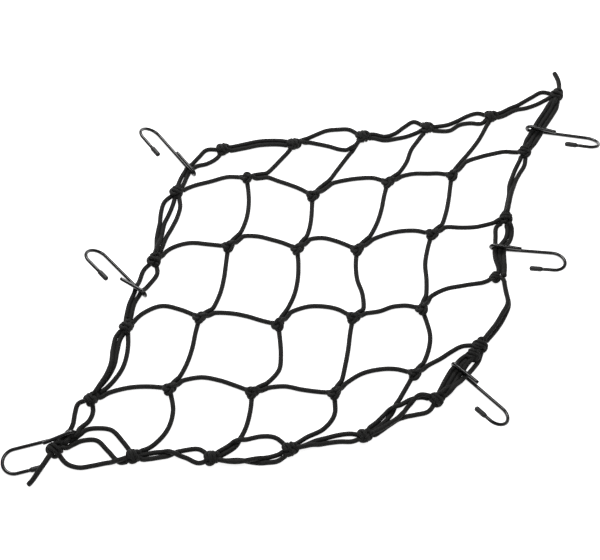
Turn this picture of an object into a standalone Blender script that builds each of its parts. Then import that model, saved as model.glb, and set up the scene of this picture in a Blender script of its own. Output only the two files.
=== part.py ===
"""Elastic cargo net, about 0.4 m square, with six wire hooks, laid out loose on a flat surface.

Four mesh rows (A to D) cross four mesh columns (1 to 4) inside a border of doubled cord.
Each mesh row with its four knots is one solid, each column strand between two knots is one
solid, and each border knot with the cords that run from it to the next knot is one solid.
Every hook is a bent wire with a dipped tip. Lengths in the tables are in millimetres.
Origin: centre of the net's box, on the surface that it lies on. +Y is the far side.
"""

import math

import bmesh
import bpy
from mathutils import Matrix, Vector

# ---------------------------------------------------------------- driving dimensions
MM = 0.001
CENTRE_X, CENTRE_Y = 20.06, 13.58    # middle of the box, in the tables' own coordinates

CORD_R = 2.25                      # elastic cord, 4.5 mm thick
CORD_LOW = 2.5                     # height of a cord's middle where it lies on the surface
KNOT_MID = 4.6                     # height of a knot's middle, and of the cords that enter it
GAP = 0.35                         # clear space between neighbouring pieces
KNOT_CORNER = 0.6                  # room for the corners of a cut cord's end
FLAT_FROM = 36                     # degrees off straight down, where a knot's flat underside starts
HALVINGS = 24                      # steps of the search for a path's cut
PAIR = 5.9                         # between the middles of two cords that leave a knot together

KNOT_LONG, KNOT_WIDE, KNOT_HIGH = 6.6, 5.8, 5.4     # half sizes of a mesh knot
EDGE_LONG, EDGE_WIDE, EDGE_HIGH = 8.4, 6.6, 5.7     # half sizes of a border knot

WIRE_R = 1.5                       # hook wire, 3 mm thick
EYE_R = 4.2                        # bend that goes round the border cords
EYE_CORD = 5.7                     # height of the cords inside a hook's eye
EYE_NEAR, EYE_FAR = 21.0, 34.0     # the cords fall from it to the surface between these
BEND_R = 13.0                      # the hook's bend
ARM = 28.5                         # cut end, laid back over the cords
TIP_R, TIP_LENGTH = 2.4, 13.0      # dipped tip
TIP_GAP = 0.3

# ---------------------------------------------------------------- knots
# name: (x, y, turn of the long side in degrees)
MESH_KNOTS = {
    "A1": (-60, 125, 60), "A2": (14, 102, 20), "A3": (98, 119, 30), "A4": (170, 128, 50),
    "B1": (-78, 39, 45), "B2": (-3, 36, 30), "B3": (62, 35, 40), "B4": (144, 54, 20),
    "C1": (-106, -45, 40), "C2": (-23, -53, 60), "C3": (56, -45, 15), "C4": (129, -35, 60),
    "D1": (-134, -124, 30), "D2": (-49, -128, 20), "D3": (35, -129, 50), "D4": (118, -108, 30),
}
EDGE_KNOTS = {
    "T1": (-87, 161, 20), "T2": (-7, 168, 10), "T3": (71, 178, 15), "T4": (145, 190, 15),
    "T5": (219, 205, 10), "TR": (298, 235, 50), "R1": (254, 158, 60), "R2": (226, 73, 80),
    "R3": (209, 1, 70), "R4": (188, -77, 60), "R5": (140, -136, 35), "U4": (65, -175, 10),
    "U3": (-10, -189, 15), "U2": (-88, -198, 10), "U1": (-166, -196, 20), "BL": (-245, -189, 45),
    "L3": (-213, -136, 40), "L2": (-182, -56, 50), "L1": (-157, 22, 60), "L0": (-137, 106, 60),
}

# ---------------------------------------------------------------- cords of the mesh
# From each mesh knot the column cord and the row cord leave side by side, up and to the
# right, and part at the fork. knot: (heading in degrees, length of the pair)
FORKS = {
    "A1": (8, 20), "A2": (38, 22), "A3": (35, 17), "A4": (50, 22),
    "B1": (45, 20), "B2": (48, 16), "B3": (42, 21), "B4": (36, 16),
    "C1": (28, 16), "C2": (54, 19), "C3": (30, 14), "C4": (62, 16),
    "D1": (42, 15), "D2": (24, 17), "D3": (50, 15), "D4": (40, 15),
}
# row: (left border knot, right border knot, rise of the first cord at 1/4, 1/2 and 3/4)
ROWS = {
    "A": ("L0", "R1", (1, 3, 5)),
    "B": ("L1", "R2", (8, 12, 7)),
    "C": ("L2", "R3", (10, 18, 13)),
    "D": ("L3", "R4", (3, 7, 5)),
}
# Rise of a row's later cords at 1/4, 1/2 and 3/4 of the way from the fork to the next knot
ROW_RISE = {
    "A1": (1, 2, 3), "A2": (4, 6, 6), "A3": (2, 2, 2), "A4": (1, 3, 3),
    "B1": (1, 2, 2), "B2": (3, 3, 2), "B3": (4, 6, 5), "B4": (-2, -4, -2),
    "C1": (2, 1, -1), "C2": (6, 8, 6), "C3": (1, 5, 5), "C4": (3, 1, -1),
    "D1": (4, 4, 2), "D2": (3, 1, -1), "D3": (6, 8, 6), "D4": (0, 3, 4),
}
# (upper knot, lower knot, bow to the right going up at 1/4, 1/2 and 3/4 of the way)
COLUMN_BOW = (
    ("T2", "A1", (1, 1, 1)), ("T3", "A2", (4, 3, 1)), ("T4", "A3", (1, -3, -1)),
    ("T5", "A4", (3, 0, 0)),
    ("A1", "B1", (3, 4, 3)), ("A2", "B2", (-1, -1, -2)), ("A3", "B3", (0, 1, 1)),
    ("A4", "B4", (1, 2, 2)),
    ("B1", "C1", (1, 2, 2)), ("B2", "C2", (3, 5, 4)), ("B3", "C3", (-4, -4, -1)),
    ("B4", "C4", (-3, -4, -1)),
    ("C1", "D1", (1, 3, 2)), ("C2", "D2", (4, 7, 8)), ("C3", "D3", (0, -1, 0)),
    ("C4", "D4", (5, 8, 6)),
    ("D1", "U1", (14, 18, 9)), ("D2", "U2", (9, 13, 5)), ("D3", "U3", (14, 13, -1)),
    ("D4", "U4", (-2, -4, -5)),
)

# ---------------------------------------------------------------- cords of the border
# (from, to, cords); a cord is its offset to the left of the way, at 1/6, 2/6 ... 5/6 of it
EDGES = (
    ("T1", "T2", ((5, 8, 11, 11, 8), (1, 3, 6, 6, 4))),
    ("T2", "T3", ((5, 10, 14, 14, 12), (2, -2, -7, -10, -5))),
    ("T3", "T4", ((2, -3, -2, 4, 9), (-3, -8, -8, -7, -2))),
    ("T4", "T5", ((0, -1, 1, 5, 7), (-6, -8, -3, -3, -2))),
    ("T5", "TR", ((1, 2, 4, 6, 8), (-3, 0, -3, -3, -1))),
    ("TR", "R1", ((-1, -3, -3, -4, -4), (7, 8, 6, 6, 4), (2, 3, 2, 1, 0))),
    ("R1", "R2", ((-3, -5, -6, -4, -2), (5, 2, -1, 1, 3))),
    ("R2", "R3", ((-8, -7, -6, -2, 3), (1, 5, 5, 2, 4), (6, 11, 11, 7, 6))),
    ("R3", "R4", ((12, 17, 15, 10, 6), (8, 12, 10, 5, 2))),
    ("R4", "R5", ((-3, -5, -6, -6, -3), (3, 2, 0, 0, 0), (9, 9, 8, 9, 5))),
    ("R5", "U4", ((8, 5, 1, 3, 2), (-11, -13, -11, -7, 1), (-11, -8, -1, 1, 2))),
    ("U4", "U3", ((-6, -7, -6, -2, 1), (4, 2, 0, 2, 4))),
    ("U3", "U2", ((-14, -17, -14, -7, 3), (10, 10, 8, 5, 5))),
    ("U2", "U1", ((-9, -8, -4, 2, 5), (5, 0, -4, -4, 0))),
    ("U1", "BL", ((-14, -25, -25, -19, -5), (7, -3, -13, -12, -5), (6, 9, 13, 16, 13))),
    ("BL", "L3", ((3, 4, 4, 7, 9), (0, -2, -3, -9, -9))),
    ("L3", "L2", ((-1, -4, -4, -2, -1), (-5, -12, -16, -14, -9), (3, 1, 1, 3, 3))),
    ("L2", "L1", ((3, 4, 5, 6, 9), (-1, 0, -2, -6, -9))),
    ("L1", "L0", ((4, 7, 8, 10, 10), (1, 2, 3, 1, 0), (-2, -5, -8, -9, -8))),
    ("L0", "T1", ((8, 12, 13, 14, 14), (2, 7, 8, 1, -2))),
)
# (x, y, height) along the two cord ends; the left one lies over the tip of a hook
END_LEFT = (
    (-245, -189, 4.6), (-250, -197, 7.0), (-254, -205, 8.4), (-259, -213, 7.9),
    (-264, -220, 5.0), (-269, -225, 2.6),
)
END_RIGHT = (
    (298, 235, 4.6), (301, 243, 4.0), (302, 251, 3.0), (301, 259, 2.6), (298, 267, 2.6),
)

# ---------------------------------------------------------------- hooks
# name: (eye x, eye y, heading of the shank, length of the shank, side that it bends to,
#        roll of the bend, turn of the arm towards that side, bare wire of the return)
HOOKS = {
    "hook_left_far": (-120.5, 131.5, 129, 64, 1, 39, 0, 16.5),
    "hook_left_mid": (-167, -17.5, 134, 63, 1, 40, 15, 16.5),
    "hook_left_near": (-230.5, -173, 195, 59, 1, 3, 9, 12.5),
    "hook_right_far": (263, 188, -9, 64, -1, 35, 6, 12),
    "hook_right_mid": (211, 37, -5, 63, -1, 19, 4, 12),
    "hook_right_near": (161, -101.5, -44, 63, -1, 29, -2, 5.5),
}
COLLECTION = "cargo_net"
CORD_COLOUR = (0.020, 0.020, 0.019, 1.0)
WIRE_COLOUR = (0.012, 0.012, 0.012, 1.0)
TIP_COLOUR = (0.016, 0.016, 0.016, 1.0)


# ---------------------------------------------------------------- scene helpers
def clear_scene():
    for old in list(bpy.data.objects):
        bpy.data.objects.remove(old, do_unlink=True)


def new_collection(name):
    collection = bpy.data.collections.new(name)
    bpy.context.scene.collection.children.link(collection)
    return collection


def make_material(name, colour, roughness, metallic):
    material = bpy.data.materials.new(name)
    material.use_nodes = True
    shader = material.node_tree.nodes["Principled BSDF"]
    shader.inputs["Base Color"].default_value = colour
    shader.inputs["Roughness"].default_value = roughness
    shader.inputs["Metallic"].default_value = metallic
    return material


def cord_material(name):
    return make_material(name + "_cord", CORD_COLOUR, 0.85, 0.0)


# ---------------------------------------------------------------- paths
def smooth(points, steps):
    """Points along a Catmull-Rom curve through the given ones, `steps` to a span."""
    ends = [points[0] * 2 - points[1]] + points + [points[-1] * 2 - points[-2]]
    out = []
    for i in range(1, len(ends) - 2):
        before, start, stop, after = ends[i - 1:i + 3]
        for k in range(steps):
            t = k / steps
            out.append(0.5 * (2 * start + (stop - before) * t
                              + (2 * before - 5 * start + 4 * stop - after) * t ** 2
                              + (3 * start - before - 3 * stop + after) * t ** 3))
    out.append(points[-1].copy())
    return out


def trim_start(path, centre, reach):
    """Cut the path's start back to where it is `reach` away from a knot, seen from above."""
    def away(p):
        return math.hypot(p.x - centre.x, p.y - centre.y)
    for i in range(len(path) - 1):
        near, far = path[i], path[i + 1]
        if away(far) > reach:
            for _ in range(HALVINGS):
                middle = near.lerp(far, 0.5)
                if away(middle) > reach:
                    far = middle
                else:
                    near = middle
            return [far] + path[i + 1:]
    return path


def trim_end(path, centre, reach):
    return trim_start(path[::-1], centre, reach)[::-1]


def knot_place(name):
    x, y = (MESH_KNOTS.get(name) or EDGE_KNOTS[name])[:2]
    return Vector((x, y, KNOT_MID))


def knot_reach(name):
    """How far from a knot's middle a cord of another node has to stop."""
    longest = KNOT_LONG if name in MESH_KNOTS else EDGE_LONG
    return longest + GAP + KNOT_CORNER


def fork_sides(name):
    """Inner and outer end of the row cord's and the column cord's side of a fork."""
    heading, length = FORKS[name]
    way = Vector((math.cos(math.radians(heading)), math.sin(math.radians(heading)), 0))
    left = Vector((-way.y, way.x, 0))
    start = knot_place(name)
    out = []
    for side in (-0.5, 0.5):
        offset = left * PAIR * side
        out.append((start + offset, start + offset + way * length * 0.5, start + offset + way * length))
    return out


def between(start, stop, offsets, low):
    """Points between two places, each moved to the left of the way and sunk towards the surface."""
    way = stop - start
    left = Vector((-way.y, way.x, 0)).normalized()
    count = len(offsets) + 1
    out = []
    for i, offset in enumerate(offsets, 1):
        place = start + way * (i / count) + left * offset
        place.z = low
        out.append(place)
    return out


def cord_height(x, y):
    """A border cord lies low, and rises where it passes through a hook's eye."""
    nearest = min(math.hypot(x - hook[0], y - hook[1]) for hook in HOOKS.values())
    share = min(1.0, max(0.0, (EYE_FAR - nearest) / (EYE_FAR - EYE_NEAR)))
    return CORD_LOW + (EYE_CORD - CORD_LOW) * share


# ---------------------------------------------------------------- solids
def tube_mesh(name, path, radius, resolution):
    """A round bar along a path in millimetres, as a closed mesh object."""
    curve = bpy.data.curves.new(name, "CURVE")
    curve.dimensions = "3D"
    curve.bevel_depth = radius * MM
    curve.bevel_resolution = resolution
    curve.use_fill_caps = True
    spline = curve.splines.new("POLY")
    spline.points.add(len(path) - 1)
    for point, place in zip(spline.points, path):
        point.co = ((place.x - CENTRE_X) * MM, (place.y - CENTRE_Y) * MM, place.z * MM, 1)
    guide = bpy.data.objects.new(name + "_guide", curve)
    bpy.context.scene.collection.objects.link(guide)
    graph = bpy.context.evaluated_depsgraph_get()
    mesh = bpy.data.meshes.new_from_object(guide.evaluated_get(graph))
    solid = bpy.data.objects.new(name, mesh)
    solid.matrix_world = guide.matrix_world
    bpy.data.objects.remove(guide, do_unlink=True)
    work = bmesh.new()
    work.from_mesh(mesh)
    bmesh.ops.remove_doubles(work, verts=work.verts, dist=0.000001)
    bmesh.ops.recalc_face_normals(work, faces=work.faces)
    work.to_mesh(mesh)
    work.free()
    mesh.shade_smooth()
    mesh.set_sharp_from_angle(angle=math.radians(50))
    return solid


def knot_mesh(name, knot):
    """A rounded lump with a small flat underside on the surface."""
    if knot in MESH_KNOTS:
        x, y, turn = MESH_KNOTS[knot]
        size = (KNOT_LONG, KNOT_WIDE, KNOT_HIGH)
    else:
        x, y, turn = EDGE_KNOTS[knot]
        size = (EDGE_LONG, EDGE_WIDE, EDGE_HIGH)
    work = bmesh.new()
    bmesh.ops.create_uvsphere(work, u_segments=8, v_segments=5, radius=1.0)
    turned = Matrix.Rotation(math.radians(turn), 4, "Z") @ Matrix.Diagonal((*size, 1))
    place = Vector((x - CENTRE_X, y - CENTRE_Y, size[2] * math.cos(math.radians(FLAT_FROM))))
    for vert in work.verts:
        spot = turned @ vert.co + place
        spot.z = max(spot.z, 0.0)
        vert.co = spot * MM
    mesh = bpy.data.meshes.new(name)
    work.to_mesh(mesh)
    work.free()
    mesh.shade_smooth()
    return bpy.data.objects.new(name, mesh)


def join_solids(name, solids, collection, cutters):
    """Unite solids into one named body."""
    first, others = solids[0], solids[1:]
    first.name = name
    first.data.name = name
    collection.objects.link(first)
    if others:
        group = bpy.data.collections.new(name + "_joined")
        cutters.children.link(group)
        for other in others:
            other.hide_render = True
            other.display_type = "WIRE"
            group.objects.link(other)
        for i, other in enumerate(others):
            union = first.modifiers.new("join_%d" % i, "BOOLEAN")
            union.operation = "UNION"
            union.object = other
    first.data.materials.clear()
    first.data.materials.append(cord_material(name))
    return first


# ---------------------------------------------------------------- the net
def build_row(row, collection, cutters):
    left_knot, right_knot, rise = ROWS[row]
    names = [row + str(i) for i in range(1, 5)]
    start = knot_place(left_knot)
    path = [start] + between(start, knot_place(names[0]), rise, CORD_LOW)
    for name, following in zip(names, names[1:] + [right_knot]):
        (_, middle, end), _ = fork_sides(name)
        path += [knot_place(name), middle, end]
        path += between(end, knot_place(following), ROW_RISE[name], CORD_LOW)
    path.append(knot_place(right_knot))
    path = trim_start(path, knot_place(left_knot), knot_reach(left_knot))
    path = trim_end(path, knot_place(right_knot), knot_reach(right_knot))
    name = "row_" + row.lower()
    solids = [tube_mesh(name, path, CORD_R, 1)]
    solids += [knot_mesh(name + "_knot_" + knot, knot) for knot in names]
    join_solids(name, solids, collection, cutters)


def build_column_cord(upper, lower, bow, collection):
    start, stop = knot_place(upper), knot_place(lower)
    pair = fork_sides(lower)[1] if lower in FORKS else (stop,)
    path = [start] + between(start, pair[-1], bow, CORD_LOW) + list(pair[::-1])
    path = trim_start(path, start, knot_reach(upper))
    path = trim_end(path, stop, knot_reach(lower))
    name = "column_%s_%s" % (upper.lower(), lower.lower())
    join_solids(name, [tube_mesh(name, path, CORD_R, 1)], collection, None)


def build_edge(start_name, stop_name, cords, collection, cutters):
    name = "edge_%s_%s" % (start_name.lower(), stop_name.lower())
    start, stop = knot_place(start_name), knot_place(stop_name)
    solids = [knot_mesh(name, start_name)]
    for i, offsets in enumerate(cords):
        path = between(start, stop, offsets, CORD_LOW)
        for place in path:
            place.z = cord_height(place.x, place.y)
        path = trim_end([start] + path + [stop], stop, knot_reach(stop_name))
        solids.append(tube_mesh("%s_cord_%d" % (name, i), path, CORD_R, 1))
    join_solids(name, solids, collection, cutters)


def build_loose_end(name, knot, places, collection):
    path = [Vector(place) for place in places]
    path = trim_start(smooth(path, 2), knot_place(knot), knot_reach(knot))
    join_solids(name, [tube_mesh(name, path, CORD_R, 2)], collection, None)


# ---------------------------------------------------------------- the hooks
def hook_path(eye_x, eye_y, heading, shank, side, roll, arm_turn, bare):
    """Cut end, arm, eye, shank, bend and return, from places in the hook's own frame."""
    way = Vector((math.cos(math.radians(heading)), math.sin(math.radians(heading)), 0))
    left = Vector((-way.y, way.x, 0))
    up = Vector((0, 0, 1))
    eye = Vector((eye_x, eye_y, WIRE_R + EYE_R))
    arm_way = Matrix.Rotation(math.radians(arm_turn) * side, 3, "Z") @ way
    path = [eye + arm_way * ARM * t + up * EYE_R for t in (1, 0.5, 0.12)]
    for i in range(0, 7):
        angle = math.radians(90 + 30 * i)
        path.append(eye + way * EYE_R * math.cos(angle) + up * EYE_R * math.sin(angle))
    shank_end = eye - up * EYE_R + way * shank
    path += [eye - up * EYE_R + way * shank * t for t in (0.33, 0.66, 1.0)]
    tilt = math.radians(roll)
    inward = left * side * math.cos(tilt) + up * math.sin(tilt)
    middle = shank_end + inward * BEND_R
    for i in range(1, 8):
        angle = math.radians(180 * i / 7)
        path.append(middle - inward * BEND_R * math.cos(angle) + way * BEND_R * math.sin(angle))
    tip_start = path[-1] - way * bare
    path.append(path[-1] - way * bare * 0.5)
    path.append(tip_start)
    tip = [tip_start - way * (TIP_GAP + TIP_LENGTH * t) for t in (0, 0.5, 1)]
    return path, tip


def build_hook(name, places, collection):
    path, tip = hook_path(*places)
    wire = tube_mesh(name + "_wire", path, WIRE_R, 1)
    collection.objects.link(wire)
    wire.data.materials.clear()
    wire.data.materials.append(make_material(name + "_wire", WIRE_COLOUR, 0.35, 0.6))
    end = tube_mesh(name + "_tip", tip, TIP_R, 2)
    collection.objects.link(end)
    end.data.materials.clear()
    end.data.materials.append(make_material(name + "_tip", TIP_COLOUR, 0.6, 0.0))


def main():
    clear_scene()
    net = new_collection(COLLECTION)
    cutters = new_collection(COLLECTION + "_joined_shapes")
    for row in ROWS:
        build_row(row, net, cutters)
    for upper, lower, bow in COLUMN_BOW:
        build_column_cord(upper, lower, bow, net)
    for start, stop, cords in EDGES:
        build_edge(start, stop, cords, net, cutters)
    build_loose_end("loose_end_left", "BL", END_LEFT, net)
    build_loose_end("loose_end_right", "TR", END_RIGHT, net)
    for name, places in HOOKS.items():
        build_hook(name, places, net)


main()
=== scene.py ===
"""The looks of the elastic cargo net: braided cord, tied knots, coated wire hooks.

Lengths in the tables are in millimetres, in the coordinates that the net was laid out in, where
the part's own origin is at `CENTRE`. The cords first follow their tables and are then settled:
each sinks to the surface and comes to lie on the cords that it crosses.
"""

import math

import bpy
import numpy as np
from mathutils import Matrix, Vector, kdtree


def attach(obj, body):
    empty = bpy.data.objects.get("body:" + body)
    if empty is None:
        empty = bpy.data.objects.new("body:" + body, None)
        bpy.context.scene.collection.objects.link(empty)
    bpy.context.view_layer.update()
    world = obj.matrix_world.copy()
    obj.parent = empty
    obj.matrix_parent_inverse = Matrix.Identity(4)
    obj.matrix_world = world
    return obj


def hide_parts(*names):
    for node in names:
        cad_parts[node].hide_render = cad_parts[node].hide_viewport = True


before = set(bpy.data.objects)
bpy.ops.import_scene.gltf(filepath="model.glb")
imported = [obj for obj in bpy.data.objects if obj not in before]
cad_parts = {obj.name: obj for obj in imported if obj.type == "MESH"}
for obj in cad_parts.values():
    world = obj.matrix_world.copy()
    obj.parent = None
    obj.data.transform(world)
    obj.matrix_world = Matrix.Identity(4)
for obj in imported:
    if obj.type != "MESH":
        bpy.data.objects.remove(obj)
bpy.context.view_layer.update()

# ---------------------------------------------------------------- sizes
MM = 0.001
CENTRE = np.array((20.06, 13.58, 0.0))  # the part's origin in the tables' coordinates
CORD_R = 2.55                           # over the fuzzy sheath of a slack cord
END_R = 2.75                            # a cut end: its sheath is no longer drawn tight
WIRE_R = 1.5                            # the CAD's wire, whose path the coated wire follows
WIRE_COATED = 1.95                      # radius of the wire with its coating
CORD_LOW = 2.5                          # height at which a cord is laid out
KNOT_MID = 4.6                          # height at which cords go into a knot
EYE_R = 4.2                             # of the wire's middle round a hook's eye
BEND_R = 13.0                           # of the wire's middle round a hook's bend
ARM = 28.5                              # from the eye's middle to the wire's cut end
TIP_R, TIP_LENGTH = 2.8, 13.5
PAIR_TURN = 75.0                        # degrees that a pair turns from its knot to its fork
STEP = 1.6                              # spacing of the points along a cord
SIDES = 14                              # of a cord's section
WIRE_SIDES = 20                         # of a wire's and a tip's section

# ---------------------------------------------------------------- knots
# name: (x, y, turn in degrees)
MESH_KNOTS = {
    "A1": (-60, 125, 60), "A2": (14, 102, 20), "A3": (98, 119, 30), "A4": (170, 128, 50),
    "B1": (-78, 39, 45), "B2": (-3, 36, 30), "B3": (62, 35, 40), "B4": (144, 54, 20),
    "C1": (-106, -45, 40), "C2": (-23, -53, 60), "C3": (56, -45, 15), "C4": (129, -35, 60),
    "D1": (-134, -124, 30), "D2": (-49, -128, 20), "D3": (35, -129, 50), "D4": (118, -108, 30),
}
EDGE_KNOTS = {
    "T1": (-87, 161, 20), "T2": (-7, 168, 10), "T3": (71, 178, 15), "T4": (145, 190, 15),
    "T5": (219, 205, 10), "TR": (298, 235, 50), "R1": (254, 158, 60), "R2": (226, 73, 80),
    "R3": (209, 1, 70), "R4": (188, -77, 60), "R5": (140, -136, 35), "U4": (65, -175, 10),
    "U3": (-10, -189, 15), "U2": (-88, -198, 10), "U1": (-166, -196, 20), "BL": (-245, -189, 45),
    "L3": (-213, -136, 40), "L2": (-182, -56, 50), "L1": (-157, 22, 60), "L0": (-137, 106, 60),
}
KNOTS = {**MESH_KNOTS, **EDGE_KNOTS}

# ---------------------------------------------------------------- cords of the mesh
# knot: (heading of the pair that leaves it, length of the pair)
FORKS = {
    "A1": (8, 23), "A2": (41, 27), "A3": (35, 17), "A4": (50, 22),
    "B1": (45, 20), "B2": (48, 18), "B3": (42, 21), "B4": (36, 16),
    "C1": (28, 16), "C2": (54, 19), "C3": (30, 14), "C4": (62, 16),
    "D1": (42, 15), "D2": (24, 17), "D3": (50, 15), "D4": (40, 15),
}
# row: (left border knot, right border knot, rise of the first cord at 1/4, 1/2 and 3/4)
ROWS = {
    "A": ("L0", "R1", (4, 5, 6)),
    "B": ("L1", "R2", (11, 13, 7)),
    "C": ("L2", "R3", (14, 19, 12)),
    "D": ("L3", "R4", (5, 7, 5)),
}
# rise of a row's later cords at 1/4, 1/2 and 3/4 of the way from the fork to the next knot
ROW_RISE = {
    "A1": (1, 2, 2), "A2": (4, 6, 6), "A3": (3, 3, 3), "A4": (3, 4, 4),
    "B1": (4, 4, 3), "B2": (5, 5, 3), "B3": (5, 7, 6), "B4": (-4, -6, -4),
    "C1": (3, 3, 1), "C2": (8, 10, 8), "C3": (1, 5, 5), "C4": (3, 1, -1),
    "D1": (7, 7, 4), "D2": (3, 1, 0), "D3": (8, 10, 8), "D4": (2, 5, 6),
}
# (upper knot, lower knot, bow to the left of the way down at 1/4, 1/2 and 3/4)
COLUMNS = (
    ("T2", "A1", (1, 1, 1)), ("T3", "A2", (0, 0, 0)), ("T4", "A3", (-1, -2, 1)),
    ("T5", "A4", (2, 3, 2)),
    ("A1", "B1", (4, 6, 5)), ("A2", "B2", (1, 2, 2)), ("A3", "B3", (1, 3, 3)),
    ("A4", "B4", (1, 2, 2)),
    ("B1", "C1", (2, 4, 4)), ("B2", "C2", (4, 6, 5)), ("B3", "C3", (-3, -3, 1)),
    ("B4", "C4", (-3, -4, -1)),
    ("C1", "D1", (1, 3, 3)), ("C2", "D2", (5, 9, 10)), ("C3", "D3", (0, 1, 1)),
    ("C4", "D4", (5, 8, 6)),
    ("D1", "U1", (14, 18, 13)), ("D2", "U2", (9, 14, 13)), ("D3", "U3", (14, 14, 5)),
    ("D4", "U4", (3, 6, 7)),
)

# ---------------------------------------------------------------- cords of the border
# (from, to, cords); a cord is its offset to the left of the way, at 1/6, 2/6 ... 5/6 of it
EDGES = (
    ("T1", "T2", ((3, 6, 8, 8, 6), (0, 1, 3, 3, 2))),
    ("T2", "T3", ((5, 10, 14, 14, 12), (2, -2, -7, -13, -14))),
    ("T3", "T4", ((2, -3, -1, 6, 11), (-3, -8, -8, -7, -4))),
    ("T4", "T5", ((0, 0, 3, 7, 8), (-6, -8, -3, -3, -6))),
    ("T5", "TR", ((1, 2, 5, 8, 10), (-3, 0, -3, -3, -1))),
    ("TR", "R1", ((-2, -3, -4, -4, -4), (6, 6, 5, 5, 4), (2, 2, 1, 1, 0))),
    ("R1", "R2", ((-3, -5, -5, -3, -2), (4, 1, -2, -2, -1))),
    ("R2", "R3", ((-8, -7, -5, -2, 4), (5, 4, -1, 1, 6), (8, 9, 4, 5, 8))),
    ("R3", "R4", ((15, 20, 18, 14, 8), (14, 19, 16, 12, 6))),
    ("R4", "R5", ((-2, -6, -7, -5, -2), (1, -2, -3, -1, 0), (3, 1, 1, 3, 2), (8, 9, 8, 6, 4))),
    ("R5", "U4", ((7, 4, 0, 1, 1), (-10, -12, -12, -10, -5), (-11, -8, -1, 1, 2))),
    ("U4", "U3", ((-5, -6, -5, -3, -1), (3, 1, 0, -1, 0))),
    ("U3", "U2", ((-14, -17, -16, -14, -8), (10, 10, 8, 5, 4), (4, 6, 7, 7, 5))),
    ("U2", "U1", ((-9, -8, -4, 0, 2), (5, 0, -4, -5, -3))),
    ("U1", "BL", ((-14, -25, -26, -23, -13), (7, -3, -13, -12, -6), (6, 9, 13, 16, 13))),
    ("BL", "L3", ((-1, -1, 1, 6, 9), (-5, -7, -8, -11, -9))),
    ("L3", "L2", ((-2, -5, -5, -1, 1), (-8, -13, -15, -13, -8), (-2, -4, -3, 2, 6))),
    ("L2", "L1", ((5, 7, 7, 7, 7), (1, 3, 0, -5, -8))),
    ("L1", "L0", ((2, 5, 7, 10, 10), (1, 2, 3, 1, 0), (-3, -4, -7, -9, -8))),
    ("L0", "T1", ((8, 12, 13, 14, 14), (2, 7, 8, 1, -2))),
)
# border knots that are tied from more or less cord, and their size beside the others
KNOT_SIZE = {
    "R3": 0.74, "BL": 1.18, "R4": 1.12, "R5": 1.08, "U3": 1.08, "L1": 1.06, "U2": 1.06, "T3": 1.06,
}
# (CAD node, x, y, turn): a second knot drawn up against a border knot
SECOND_KNOTS = (("edge_r4_r5", 180, -88, 60),)
# knot: how far beside it the cords pass that aren't tied into it
PASSED = {"R3": (9.0, -1.0, 0.0)}
# (x, y, height) along the two cord ends
END_LEFT = (
    (-245, -189, 4.6), (-250, -197, 7.0), (-254, -205, 8.4), (-259, -213, 7.9),
    (-264, -220, 5.0), (-269, -225, 2.6),
)
END_RIGHT = (
    (298, 235, 4.6), (301, 243, 4.0), (302, 251, 3.0), (301, 259, 2.6), (298, 267, 2.6),
)

# ---------------------------------------------------------------- hooks
# name: (eye x, eye y, heading of the shank, length of the shank, side that it bends to,
#        roll of the bend, turn of the arm towards that side, bare wire of the return)
HOOKS = {
    "hook_left_far": (-120.5, 131.5, 129, 64, 1, 39, 0, 16.5),
    "hook_left_mid": (-167, -17.5, 134, 63, 1, 40, 15, 16.5),
    "hook_left_near": (-230.5, -173, 195, 59, 1, 3, 9, 12.5),
    "hook_right_far": (263, 188, -9, 64, -1, 35, 6, 12),
    "hook_right_mid": (211, 37, -5, 63, -1, 19, 4, 12),
    "hook_right_near": (161, -101.5, -44, 63, -1, 29, -2, 5.5),
}


# ---------------------------------------------------------------- paths
def knot_place(name):
    return np.array((*KNOTS[name][:2], KNOT_MID), float)


def unit(vector):
    return vector / np.linalg.norm(vector)


def between(start, stop, offsets):
    """Places between two others, each moved to the left of the way and lying low."""
    way = stop - start
    left = unit(np.array((-way[1], way[0], 0.0)))
    out = []
    for i, offset in enumerate(offsets, 1):
        place = start + way * i / (len(offsets) + 1) + left * offset
        place[2] = CORD_LOW
        out.append(place)
    return out


def fork_side(name, side):
    """Places along one side of the pair that leaves a mesh knot: -1 the row's, 1 the column's.

    The pair lies one cord over the other at the knot and side by side where it forks.
    """
    heading, length = FORKS[name]
    angle = math.radians(heading)
    way = np.array((math.cos(angle), math.sin(angle), 0.0))
    left = np.array((-way[1], way[0], 0.0))
    up = np.array((0.0, 0.0, 1.0))
    out = []
    for t in (0.0, 0.2, 0.4, 0.6, 0.8, 1.0):
        turn = math.radians(PAIR_TURN) * (1 - t)
        apart = (left * math.cos(turn) - up * math.sin(turn)) * CORD_R * side
        middle = knot_place(name) + way * length * t
        middle[2] = CORD_R * (1 + math.sin(turn)) + 0.1
        out.append(middle + apart)
    return out


CURVE_PARTS = 14                        # points of a curve between two given places


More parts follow.
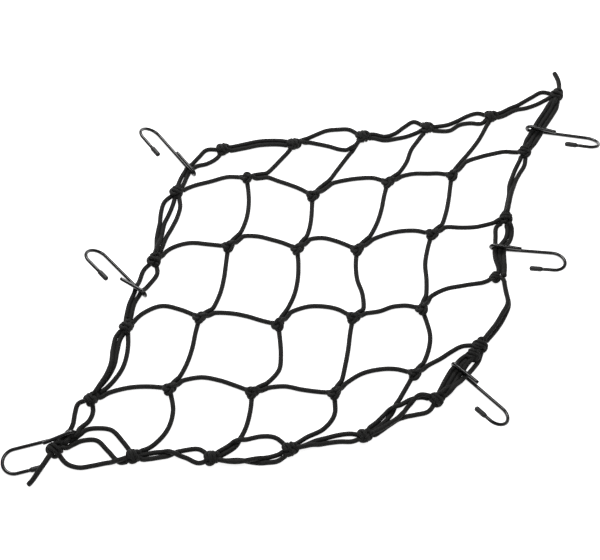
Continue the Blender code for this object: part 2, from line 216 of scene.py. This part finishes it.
def smooth(places, step=STEP):
    """Evenly spaced points along a centripetal Catmull-Rom curve through the given places."""
    p = np.array(places, float)
    p = np.vstack((2 * p[0] - p[1], p, 2 * p[-1] - p[-2]))
    fine = []
    for i in range(1, len(p) - 2):
        knots = [0.0]
        for a, b in zip(p[i - 1:i + 2], p[i:i + 3]):
            knots.append(knots[-1] + max(0.01, np.linalg.norm(b - a)) ** 0.5)
        t0, t1, t2, t3 = knots
        t = np.linspace(t1, t2, CURVE_PARTS, endpoint=False)[:, None]
        a1 = (t1 - t) / (t1 - t0) * p[i - 1] + (t - t0) / (t1 - t0) * p[i]
        a2 = (t2 - t) / (t2 - t1) * p[i] + (t - t1) / (t2 - t1) * p[i + 1]
        a3 = (t3 - t) / (t3 - t2) * p[i + 1] + (t - t2) / (t3 - t2) * p[i + 2]
        b1 = (t2 - t) / (t2 - t0) * a1 + (t - t0) / (t2 - t0) * a2
        b2 = (t3 - t) / (t3 - t1) * a2 + (t - t1) / (t3 - t1) * a3
        fine.append((t2 - t) / (t2 - t1) * b1 + (t - t1) / (t2 - t1) * b2)
    fine = np.vstack(fine + [p[-2:-1]])
    return respaced(fine, step)


def gone_along(points):
    """Length of the line from its first point to each of its points."""
    return np.concatenate(([0], np.cumsum(np.linalg.norm(np.diff(points, axis=0), axis=1))))


def respaced(points, step):
    """The same line with evenly spaced points."""
    gone = gone_along(points)
    count = max(3, int(round(gone[-1] / step)) + 1)
    at = np.linspace(0, gone[-1], count)
    return np.stack([np.interp(at, gone, points[:, k]) for k in range(3)], axis=1)


def mesh_cords():
    """{CAD node: [path]} of the rows and columns."""
    out = {}
    for row, (left_knot, right_knot, rise) in ROWS.items():
        names = [row + str(i) for i in range(1, 5)]
        stops = names[1:] + [right_knot]
        start = knot_place(left_knot)
        paths = [[start] + between(start, knot_place(names[0]), rise) + [knot_place(names[0])]]
        for name, following in zip(names, stops):
            pair = fork_side(name, -1)
            stop = knot_place(following)
            paths.append(pair + between(pair[-1], stop, ROW_RISE[name]) + [stop])
        out["row_" + row.lower()] = [smooth(path) for path in paths]
    for upper, lower, bow in COLUMNS:
        start = knot_place(upper)
        pair = fork_side(lower, 1) if lower in FORKS else [knot_place(lower)]
        path = [start] + between(start, pair[-1], bow) + pair[::-1]
        out["column_%s_%s" % (upper.lower(), lower.lower())] = [smooth(path)]
    return out


def edge_cords():
    """{CAD node: [path]} of the border."""
    out = {}
    for start_name, stop_name, cords in EDGES:
        start, stop = knot_place(start_name), knot_place(stop_name)
        paths = []
        for i, offsets in enumerate(cords):
            first = start + np.array(PASSED.get(start_name, (0, 0, 0)))
            last = stop + np.array(PASSED.get(stop_name, (0, 0, 0))) * min(i, 1)
            paths.append(smooth([first] + between(start, stop, offsets) + [last]))
        out["edge_%s_%s" % (start_name.lower(), stop_name.lower())] = paths
    return out


# ---------------------------------------------------------------- hooks' paths
def hook_path(eye_x, eye_y, heading, shank, side, roll, arm_turn, bare):
    """Wire's path from the cut end to the tip's root, and the tip's direction."""
    angle = math.radians(heading)
    way = np.array((math.cos(angle), math.sin(angle), 0.0))
    left = np.array((-way[1], way[0], 0.0))
    up = np.array((0.0, 0.0, 1.0))
    turn = angle + math.radians(arm_turn) * side
    arm_way = np.array((math.cos(turn), math.sin(turn), 0.0))
    eye = np.array((eye_x, eye_y, WIRE_R + EYE_R))
    path = [eye + arm_way * ARM * t + up * EYE_R for t in np.linspace(1, 0.06, 12)]
    for part in np.linspace(0, 1, 17):
        bend = math.pi * (0.5 + part)
        path.append(eye + way * EYE_R * math.cos(bend) + up * EYE_R * math.sin(bend))
    path += [eye - up * EYE_R + way * shank * t for t in np.linspace(0.05, 1, 24)]
    tilt = math.radians(roll)
    inward = left * side * math.cos(tilt) + up * math.sin(tilt)
    middle = path[-1] + inward * BEND_R
    for part in np.linspace(0, 1, 25)[1:]:
        bend = math.pi * part
        path.append(middle - inward * BEND_R * math.cos(bend) + way * BEND_R * math.sin(bend))
    root = path[-1]
    path += [root - way * bare * t for t in np.linspace(0.15, 1.05, 7)]
    return np.array(path), path[-1], -way


# ---------------------------------------------------------------- settling the cords
ARM_ROOM = 3.0        # a cord stays wholly under a hook's arm this far to its sides
ARM_SLOPE = 0.5       # beyond that it may rise by this much for each millimetre
KNOT_HOLD = 6.5       # this near a knot's middle a cord can't move
KNOT_FADE = 8.0       # it comes free over this distance
LAYER = 3.0           # each further cord of a piece starts this much higher
ROUNDS = 70
SINK = 0.12           # how far the cords fall in a round
UPWARD = 2.2          # cords that touch part upwards this much sooner than sideways
TIE_BREAK = 0.12      # and the later one goes over the earlier
CORD_PUSH, WIRE_PUSH = 0.5, 0.6         # share of an overlap that a round takes away
PUSH_MOST = 1.2       # in a round
BACK_HOME = 0.06      # pull towards the table's route, in plan
STIFFNESS = 0.45      # evening out of the cord's displacement along it


def ceiling(place):
    """How high a cord may lie: under the arm of any hook whose eye it goes through."""
    limit = np.full(len(place), 100.0)
    for x, y, heading, _, side, _, arm_turn, _ in HOOKS.values():
        angle = math.radians(heading + arm_turn * side)
        way = np.array((math.cos(angle), math.sin(angle)))
        away = place[:, :2] - (x, y)
        along = away @ way
        off = np.abs(away @ (-way[1], way[0]))
        off = np.hypot(off, np.maximum(0, np.maximum(-along - EYE_R, along - ARM)))
        under = WIRE_R + 2 * EYE_R - WIRE_COATED - CORD_R
        limit = np.minimum(limit, under + ARM_SLOPE * np.maximum(0, off - ARM_ROOM))
    return limit


def tree_of(points):
    tree = kdtree.KDTree(len(points))
    for i, point in enumerate(points):
        tree.insert(point, i)
    tree.balance()
    return tree


def pushes(place, owner, free, wire_tree):
    """How each free point is pushed by the other cords and the wires that it overlaps."""
    tree = tree_of(place)
    push = np.zeros_like(place)
    for i in np.nonzero(free)[0]:
        for near, j, away in tree.find_range(place[i], 2 * CORD_R):
            if owner[j] == owner[i] or away < 1e-6:
                continue
            gap = place[i] - np.array(near)
            gap[2] = gap[2] * UPWARD + (TIE_BREAK if owner[i] > owner[j] else -TIE_BREAK)
            share = 0.5 if free[j] else 1.0
            push[i] += unit(gap) * (2 * CORD_R - away) * share * CORD_PUSH
        for near, _, away in wire_tree.find_range(place[i], CORD_R + WIRE_R):
            gap = place[i] - np.array(near)
            push[i] += unit(gap) * (CORD_R + WIRE_R - away) * WIRE_PUSH
    size = np.linalg.norm(push, axis=1, keepdims=True)
    return push * np.minimum(1.0, PUSH_MOST / np.maximum(size, 1e-9))


def settle(cords, wires):
    """Sink the cords and part those that touch, so that they lie on the surface and each other."""
    paths = [path for node in sorted(cords) for path in cords[node]]
    ends = np.cumsum([0] + [len(path) for path in paths])
    place = np.vstack(paths)
    home = place.copy()
    flat = home * (1.0, 1.0, 0.0)
    owner = np.concatenate([np.full(len(path), i) for i, path in enumerate(paths)])
    knots = np.array([knot_place(name) for name in KNOTS])
    near_knot = np.min(np.linalg.norm(place[:, None, :2] - knots[None, :, :2], axis=2), axis=1)
    free = near_knot >= KNOT_HOLD
    loose = np.clip((near_knot - KNOT_HOLD) / KNOT_FADE, 0, 1)
    wire_tree = tree_of(np.vstack([respaced(wire, 1.5) for wire in wires]))
    lift = np.array([LAYER * k for node in sorted(cords) for k in range(len(cords[node]))])
    place[:, 2] += lift[owner] * loose
    for _ in range(ROUNDS):
        place[free, 2] -= SINK
        place += pushes(place, owner, free, wire_tree)
        place[free, :2] += (home[free, :2] - place[free, :2]) * BACK_HOME
        for a, b in zip(ends[:-1], ends[1:]):
            moved = place[a:b] - flat[a:b]
            mean = (moved[:-2] + moved[2:]) * 0.5
            place[a + 1:b - 1] += (mean - moved[1:-1]) * (STIFFNESS * loose[a + 1:b - 1, None])
        place[:, 2] = np.maximum(np.minimum(place[:, 2], ceiling(place)), CORD_R)
    settled = iter(np.split(place, ends[1:-1]))
    for node in sorted(cords):
        cords[node] = [next(settled) for _ in cords[node]]


# ---------------------------------------------------------------- meshes
def directions(path, closed):
    """The way along the path at each of its points."""
    if closed:
        after, before = np.roll(path, -1, 0), np.roll(path, 1, 0)
    else:
        after = np.vstack((path[1:], 2 * path[-1] - path[-2]))
        before = np.vstack((2 * path[0] - path[1], path[:-1]))
    way = after - before
    return way / np.linalg.norm(way, axis=1, keepdims=True)


def across(way, closed):
    """Two directions square to the way at each point, carried along without a twist."""
    side = np.cross(way[0], (0.0, 0.0, 1.0))
    if np.linalg.norm(side) < 0.1:
        side = np.cross(way[0], (0.0, 1.0, 0.0))
    carried = []
    for here in way:
        side = unit(side - here * np.dot(side, here))
        carried.append(side)
    side = np.array(carried)
    if closed:
        last = side[-1] - way[0] * np.dot(side[-1], way[0])
        other = np.cross(way[0], side[0])
        twist = math.atan2(np.dot(last, other), np.dot(last, side[0]))
        turn = -twist * np.arange(len(way)) / len(way)
        side = side * np.cos(turn)[:, None] + np.cross(way, side) * np.sin(turn)[:, None]
    return side, np.cross(way, side)


class Skin:
    """Vertices, faces and surface coordinates collected for one piece.

    The surface coordinates are millimetres along the cord and the part of a turn round it.
    """

    def __init__(self):
        self.verts, self.faces, self.uvs = [], [], []
        self.count = 0

    def sweep(self, path, radius, sides=SIDES, closed=False, dome=0.0, start=0.0):
        """A tube along a path; radius is one number or one for each point."""
        path = np.asarray(path, float)
        n = len(path)
        radius = np.full(n, radius, float) if np.isscalar(radius) else np.asarray(radius, float)
        way = directions(path, closed)
        side, cross = across(way, closed)
        angle = np.arange(sides) * 2 * math.pi / sides
        ring = (side[:, None] * np.cos(angle)[None, :, None]
                + cross[:, None] * np.sin(angle)[None, :, None])
        base = self.count
        self.verts.append((path[:, None] + ring * radius[:, None, None]).reshape(-1, 3))
        self.count += n * sides
        gone = gone_along(path) + start
        total = gone[-1] + (np.linalg.norm(path[0] - path[-1]) if closed else 0)
        for i in range(n if closed else n - 1):
            j = (i + 1) % n
            u0, u1 = gone[i], (gone[j] if j else total)
            for k in range(sides):
                m = (k + 1) % sides
                self.faces.append((base + i * sides + k, base + i * sides + m,
                                   base + j * sides + m, base + j * sides + k))
                v0, v1 = k / sides, (k + 1) / sides
                self.uvs += [(u0, v0), (u0, v1), (u1, v1), (u1, v0)]
        if not closed:
            self.cap(path[0] - way[0] * dome * radius[0], base, sides, gone[0], False)
            self.cap(path[-1] + way[-1] * dome * radius[-1], base + (n - 1) * sides, sides,
                     gone[-1], True)

    def cap(self, tip, base, sides, gone, forward):
        """Close a tube's end with a fan of triangles to the tip."""
        self.verts.append(tip[None])
        for k in range(sides):
            a, b = base + k, base + (k + 1) % sides
            self.faces.append((a, b, self.count) if forward else (b, a, self.count))
            self.uvs += [(gone, k / sides)] * 3
        self.count += 1

    def build(self, name, material):
        mesh = bpy.data.meshes.new(name)
        verts = (np.vstack(self.verts) - CENTRE) * MM
        mesh.from_pydata(verts.tolist(), [], self.faces)
        layer = mesh.uv_layers.new(name="along_around")
        layer.data.foreach_set("uv", np.array(self.uvs, dtype=np.float32).ravel())
        mesh.materials.append(material)
        mesh.shade_smooth()
        piece = bpy.data.objects.new(name, mesh)
        bpy.context.scene.collection.objects.link(piece)
        return piece


# ---------------------------------------------------------------- knots
# (big, small) radius of a knot's line; its stretch along its turn, across it and up; cord's radius
MESH_LINE, MESH_STRETCH, MESH_THICK = (3.1, 1.7), (1.28, 1.10, 1.0), 2.25
EDGE_LINE, EDGE_STRETCH, EDGE_THICK = (3.5, 1.9), (1.28, 1.12, 1.0), 2.3
MESH_SHIFT, MESH_MID = -1.3, 5.2        # its middle's y from the knot's place, and its height
EDGE_MID = 4.9
WRAP_TURNS, WRAP_LONG, WRAP_THICK = 1.8, 6.4, 2.0
WRAP_WIDE, WRAP_HIGH = 5.2, 4.0         # radii of the turns round a border knot


def turned(points, angles, place, size):
    """Points scaled, turned by Euler angles in degrees, and put in place."""
    matrix = Matrix.Identity(3)
    for axis, angle in zip("XYZ", angles):
        matrix = Matrix.Rotation(math.radians(angle), 3, axis) @ matrix
    return (points * size) @ np.array(matrix).T + place


def resting(line, radius):
    """The same line, pressed no lower than the surface lets it."""
    line = line.copy()
    line[:, 2] = np.maximum(line[:, 2], radius)
    return line


def overhand(big, small, points=72):
    """The closed line of a drawn-up overhand knot: three lobes round a middle."""
    t = np.linspace(0, 2 * math.pi, points, endpoint=False)
    ring = big + small * np.cos(3 * t)
    return np.stack((ring * np.cos(2 * t), ring * np.sin(2 * t), small * np.sin(3 * t)), axis=1)


def add_mesh_knot(skin, name, index):
    """A drawn-up knot; its index only varies its tilt and where its braid starts."""
    x, y, turn = KNOTS[name]
    tilt = (12 * math.sin(index * 2.1), 14 * math.cos(index * 1.7), turn)
    place = np.array((x, y + MESH_SHIFT, MESH_MID))
    line = turned(overhand(*MESH_LINE), tilt, place, np.array(MESH_STRETCH))
    skin.sweep(resting(line, MESH_THICK), MESH_THICK, closed=True, start=index * 3.7)


def add_edge_knot(skin, x, y, turn, scale, index):
    """A drawn-up knot with two turns of cord round the bundle that goes through it."""
    place = np.array((x, y, EDGE_MID))
    tilt = (10 * math.sin(index * 1.3), 12 * math.cos(index * 2.3), turn)
    line = turned(overhand(*EDGE_LINE), tilt, place, np.array(EDGE_STRETCH) * scale)
    skin.sweep(resting(line, EDGE_THICK), EDGE_THICK, closed=True, start=index * 5.3)
    t = np.linspace(0, 2 * math.pi * WRAP_TURNS, 56)
    along = (t / t[-1] - 0.5) * WRAP_LONG
    wrap = np.stack((along, WRAP_WIDE * np.cos(t + index), WRAP_HIGH * np.sin(t + index)), axis=1)
    wrap = turned(wrap, (0, 0, turn), place, scale)
    skin.sweep(resting(wrap, WRAP_THICK), WRAP_THICK, dome=0.6, start=index * 2.9)


# ---------------------------------------------------------------- materials
class Nodes:
    """Short way to write a node tree, from a new material's name."""

    def __init__(self, name):
        self.material = bpy.data.materials.new(name)
        self.material.use_nodes = True
        self.tree = self.material.node_tree
        self.shader = self.tree.nodes["Principled BSDF"]

    def add(self, kind, **settings):
        node = self.tree.nodes.new(kind)
        for key, value in settings.items():
            setattr(node, key, value)
        return node

    def link(self, a, b):
        self.tree.links.new(a, b)

    def math(self, operation, a, b=None):
        node = self.add("ShaderNodeMath", operation=operation)
        for socket, value in zip(node.inputs, (a, b)):
            if value is None:
                continue
            if isinstance(value, (int, float)):
                socket.default_value = value
            else:
                self.link(value, socket)
        return node.outputs[0]

    def noise(self, scale, detail, vector, roughness=0.5):
        node = self.add("ShaderNodeTexNoise")
        node.inputs["Scale"].default_value = scale
        node.inputs["Detail"].default_value = detail
        node.inputs["Roughness"].default_value = roughness
        self.link(vector, node.inputs["Vector"])
        return node.outputs["Fac"]

    def ramp(self, factor, stops):
        node = self.add("ShaderNodeValToRGB")
        points = node.color_ramp.elements
        while len(points) < len(stops):
            points.new(0.5)
        for point, (place, colour) in zip(points, stops):
            point.position = place
            point.color = (*colour, 1)
        self.link(factor, node.inputs["Fac"])
        return node.outputs["Color"]

    def bump(self, height, strength, distance, normal=None):
        node = self.add("ShaderNodeBump")
        node.inputs["Strength"].default_value = strength
        node.inputs["Distance"].default_value = distance
        self.link(height, node.inputs["Height"])
        if normal is not None:
            self.link(normal, node.inputs["Normal"])
        return node.outputs["Normal"]


def sheath_material():
    """Braided polyester sheath: flat yarns that cross over and under at 45 degrees."""
    n = Nodes("braided_sheath")
    carriers = 12
    round_mm = 2 * math.pi * CORD_R

    def yarns(own, other):
        """Height of the yarns that run one way: a flat crown that dips at its crossings."""
        dip = n.math("ADD", n.math("MULTIPLY", other, 0.4), 0.6)
        return n.math("MULTIPLY", n.math("POWER", own, 0.55), dip)

    uv = n.add("ShaderNodeUVMap", uv_map="along_around")
    split = n.add("ShaderNodeSeparateXYZ")
    n.link(uv.outputs["UV"], split.inputs[0])
    along = n.math("MULTIPLY", split.outputs["X"], carriers / round_mm)
    around = n.math("MULTIPLY", split.outputs["Y"], carriers)
    x = n.math("ADD", along, around)
    y = n.math("SUBTRACT", along, around)
    crown = []
    for value in (x, y):
        part = n.math("MULTIPLY", n.math("FRACT", value), math.pi)
        crown.append(n.math("SINE", part))
    cell = n.math("ADD", n.math("FLOOR", x), n.math("FLOOR", y))
    over = n.math("ABSOLUTE", n.math("MODULO", cell, 2.0))
    height = n.math("ADD", n.math("MULTIPLY", yarns(crown[0], crown[1]), over),
                    n.math("MULTIPLY", yarns(crown[1], crown[0]), n.math("SUBTRACT", 1.0, over)))
    place = n.add("ShaderNodeNewGeometry").outputs["Position"]
    fluff = n.noise(5200.0, 3.0, place, 0.7)
    patch = n.noise(55.0, 3.0, place)
    # Colour from the braid's height: painted shade makes the colour darker where the yarns dip and
    # between them, plus a random tone from the fluff.
    fluff_and_hollow_shade = n.math("ADD", n.math("MULTIPLY", height, 0.7), n.math("MULTIPLY", fluff, 0.3))
    colour = n.ramp(fluff_and_hollow_shade, ((0.15, (0.0016, 0.0016, 0.0015)), (0.55, (0.0064, 0.0064, 0.0060)),
                           (0.95, (0.016, 0.016, 0.0149))))
    wear = n.ramp(patch, ((0.35, (0.80, 0.80, 0.80)), (0.70, (1.18, 1.17, 1.14))))
    mix = n.add("ShaderNodeMix", data_type="RGBA", blend_type="MULTIPLY")
    mix.inputs["Factor"].default_value = 1.0
    n.link(colour, mix.inputs["A"])
    n.link(wear, mix.inputs["B"])
    n.link(mix.outputs["Result"], n.shader.inputs["Base Color"])
    rough = n.math("ADD", n.math("MULTIPLY", fluff, 0.25), 0.58)
    n.link(rough, n.shader.inputs["Roughness"])
    n.shader.inputs["Sheen Weight"].default_value = 0.04
    n.shader.inputs["Sheen Roughness"].default_value = 0.45
    n.shader.inputs["Specular IOR Level"].default_value = 0.35
    fine = n.bump(fluff, 0.25, 0.00008)
    n.link(n.bump(height, 0.75, 0.00032, fine), n.shader.inputs["Normal"])
    return n.material


def wire_material():
    """Black coated steel: an even semi-gloss film with faint orange peel and rubbed spots."""
    n = Nodes("coated_wire")
    place = n.add("ShaderNodeNewGeometry").outputs["Position"]
    peel = n.noise(1500.0, 2.0, place)
    rub = n.noise(120.0, 4.0, place, 0.65)
    colour = n.ramp(rub, ((0.42, (0.0040, 0.0040, 0.0040)), (0.66, (0.0085, 0.0085, 0.0085)),
                          (0.80, (0.030, 0.029, 0.028))))
    n.link(colour, n.shader.inputs["Base Color"])
    n.link(n.math("ADD", n.math("MULTIPLY", rub, 0.22), 0.16), n.shader.inputs["Roughness"])
    n.shader.inputs["Coat Weight"].default_value = 0.35
    n.shader.inputs["Coat Roughness"].default_value = 0.18
    n.link(n.bump(peel, 0.05, 0.00003), n.shader.inputs["Normal"])
    return n.material


def tip_material():
    """Dipped soft plastic: dull, slightly uneven."""
    n = Nodes("dipped_tip")
    place = n.add("ShaderNodeNewGeometry").outputs["Position"]
    lumps = n.noise(420.0, 3.0, place)
    grain = n.noise(3800.0, 2.0, place)
    colour = n.ramp(lumps, ((0.3, (0.012, 0.012, 0.012)), (0.75, (0.024, 0.024, 0.023))))
    n.link(colour, n.shader.inputs["Base Color"])
    n.link(n.math("ADD", n.math("MULTIPLY", grain, 0.2), 0.40), n.shader.inputs["Roughness"])
    n.link(n.bump(grain, 0.2, 0.00005, n.bump(lumps, 0.3, 0.0003)), n.shader.inputs["Normal"])
    return n.material


def floor_material():
    """Plain white studio paper, lit a little from within so that it has no grey corners."""
    n = Nodes("pale_floor")
    n.shader.inputs["Base Color"].default_value = (0.93, 0.93, 0.93, 1)
    n.shader.inputs["Roughness"].default_value = 0.9
    n.shader.inputs["Specular IOR Level"].default_value = 0.1
    n.shader.inputs["Emission Color"].default_value = (1, 1, 1, 1)
    n.shader.inputs["Emission Strength"].default_value = 0.88
    return n.material


# ---------------------------------------------------------------- pieces
def finish_piece(piece, node):
    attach(piece, "root")
    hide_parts(node)
    return piece


def build_cords(cords, sheath):
    """One piece for each CAD node.

    A mesh knot belongs to its row, and a border knot to the stretch that starts at it.
    """
    names = list(KNOTS)
    for node, paths in cords.items():
        skin = Skin()
        for i, path in enumerate(paths):
            skin.sweep(path, CORD_R, start=i * 11.3)
        if node.startswith("row_"):
            for i in range(1, 5):
                knot = node[-1].upper() + str(i)
                add_mesh_knot(skin, knot, names.index(knot))
        if node.startswith("edge_"):
            knot = node.split("_")[1].upper()
            add_edge_knot(skin, *KNOTS[knot], KNOT_SIZE.get(knot, 1.0), names.index(knot))
        for i, (owner, x, y, turn) in enumerate(SECOND_KNOTS):
            if owner == node:
                add_edge_knot(skin, x, y, turn, 1.0, i + 3)
        finish_piece(skin.build(node + "_braid", sheath), node)


def build_loose_end(name, places, sheath):
    """A cut end of the cord."""
    path = smooth(places, 1.0)
    taper = np.full(len(path), END_R)
    taper[-3:] *= (0.99, 0.96, 0.86)    # the cut sheath draws in a little
    skin = Skin()
    skin.sweep(path, taper, dome=0.25)
    piece = finish_piece(skin.build(name + "_braid", sheath), name)


def tip_radius(t):
    """Of a dipped tip, from its mouth on the wire at 0 to its round end at 1."""
    mouth = np.minimum(1.0, 0.70 + 0.42 * np.sin(np.clip(t / 0.28, 0, 1) * math.pi / 2))
    end = np.sqrt(np.clip(1 - np.clip((t - 0.84) / 0.165, 0, 1) ** 2, 0, 1))
    return np.maximum(TIP_R * mouth * end, 0.25)


def build_hook(name, places, wire, tip):
    """A hook's coated wire and dipped tip; gives back the wire's path."""
    path, root, way = hook_path(*places)
    skin = Skin()
    radius = np.full(len(path), WIRE_COATED)
    radius[0] *= 0.93
    skin.sweep(path, radius, sides=WIRE_SIDES, dome=0.08)
    finish_piece(skin.build(name + "_coated_wire", wire), name + "_wire")
    t = np.linspace(0, 1, 22)
    overlap = 0.6
    along = root + way * (t[:, None] * (TIP_LENGTH + overlap) - overlap)
    skin = Skin()
    skin.sweep(along, tip_radius(t), sides=WIRE_SIDES, dome=0.1)
    finish_piece(skin.build(name + "_dipped_tip", tip), name + "_tip")
    return path


# ---------------------------------------------------------------- stage, light and camera
VIEW_HEIGHT = 65.0                     # degrees above the surface
VIEW_DISTANCE = 1.215                  # metres
VIEW_LENS = 67.8
SENSOR = 36.0                          # millimetres, as the lens
FLOOR_HALF = 4.0
FLOOR_DROP = 0.0002                    # puts the floor just under the cords, which rest at zero
# (name, place and diameter in metres, watts)
LIGHTS = (("key", (-0.35, 1.25, 1.15), 0.9, 22.0), ("top", (0.1, 0.15, 1.7), 0.7, 9.0))


def add_camera():
    """The photo's view: along +Y, aimed at the tables' origin."""
    camera = bpy.data.objects.new("camera", bpy.data.cameras.new("camera"))
    bpy.context.scene.collection.objects.link(camera)
    camera.data.lens = VIEW_LENS
    camera.data.sensor_width = SENSOR
    height = math.radians(VIEW_HEIGHT)
    target = Vector(-CENTRE * MM)
    camera.location = target + Vector((0, -math.cos(height), math.sin(height))) * VIEW_DISTANCE
    camera.rotation_euler = (math.radians(90) - height, 0, 0)
    camera.data.clip_start = 0.05
    bpy.context.scene.camera = camera


def add_light(name, place, size, power):
    """A round soft lamp that faces the net."""
    light = bpy.data.lights.new(name, "AREA")
    light.shape = "DISK"
    light.size = size
    light.energy = power
    lamp = bpy.data.objects.new(name, light)
    lamp.location = place
    lamp.rotation_euler = (-Vector(place)).to_track_quat("-Z", "Y").to_euler()
    bpy.context.scene.collection.objects.link(lamp)


def add_stage():
    """The floor, the white surroundings and the lamps."""
    mesh = bpy.data.meshes.new("floor")
    corners = ((-1, -1), (1, -1), (1, 1), (-1, 1))
    mesh.from_pydata([(x * FLOOR_HALF, y * FLOOR_HALF, 0) for x, y in corners], [], [(0, 1, 2, 3)])
    mesh.materials.append(floor_material())
    floor = bpy.data.objects.new("floor", mesh)
    floor.location.z = -FLOOR_DROP
    bpy.context.scene.collection.objects.link(floor)
    world = bpy.data.worlds.new("studio")
    world.use_nodes = True
    background = world.node_tree.nodes["Background"]
    background.inputs["Color"].default_value = (1, 1, 1, 1)
    background.inputs["Strength"].default_value = 0.12
    bpy.context.scene.world = world
    bpy.context.scene.view_settings.view_transform = "Standard"
    for light in LIGHTS:
        add_light(*light)


def main():
    sheath, wire, tip = sheath_material(), wire_material(), tip_material()
    add_camera()
    build_loose_end("loose_end_left", END_LEFT, sheath)
    build_loose_end("loose_end_right", END_RIGHT, sheath)
    wires = [build_hook(name, places, wire, tip) for name, places in HOOKS.items()]
    cords = {**mesh_cords(), **edge_cords()}
    settle(cords, wires)
    build_cords(cords, sheath)
    add_stage()


main()
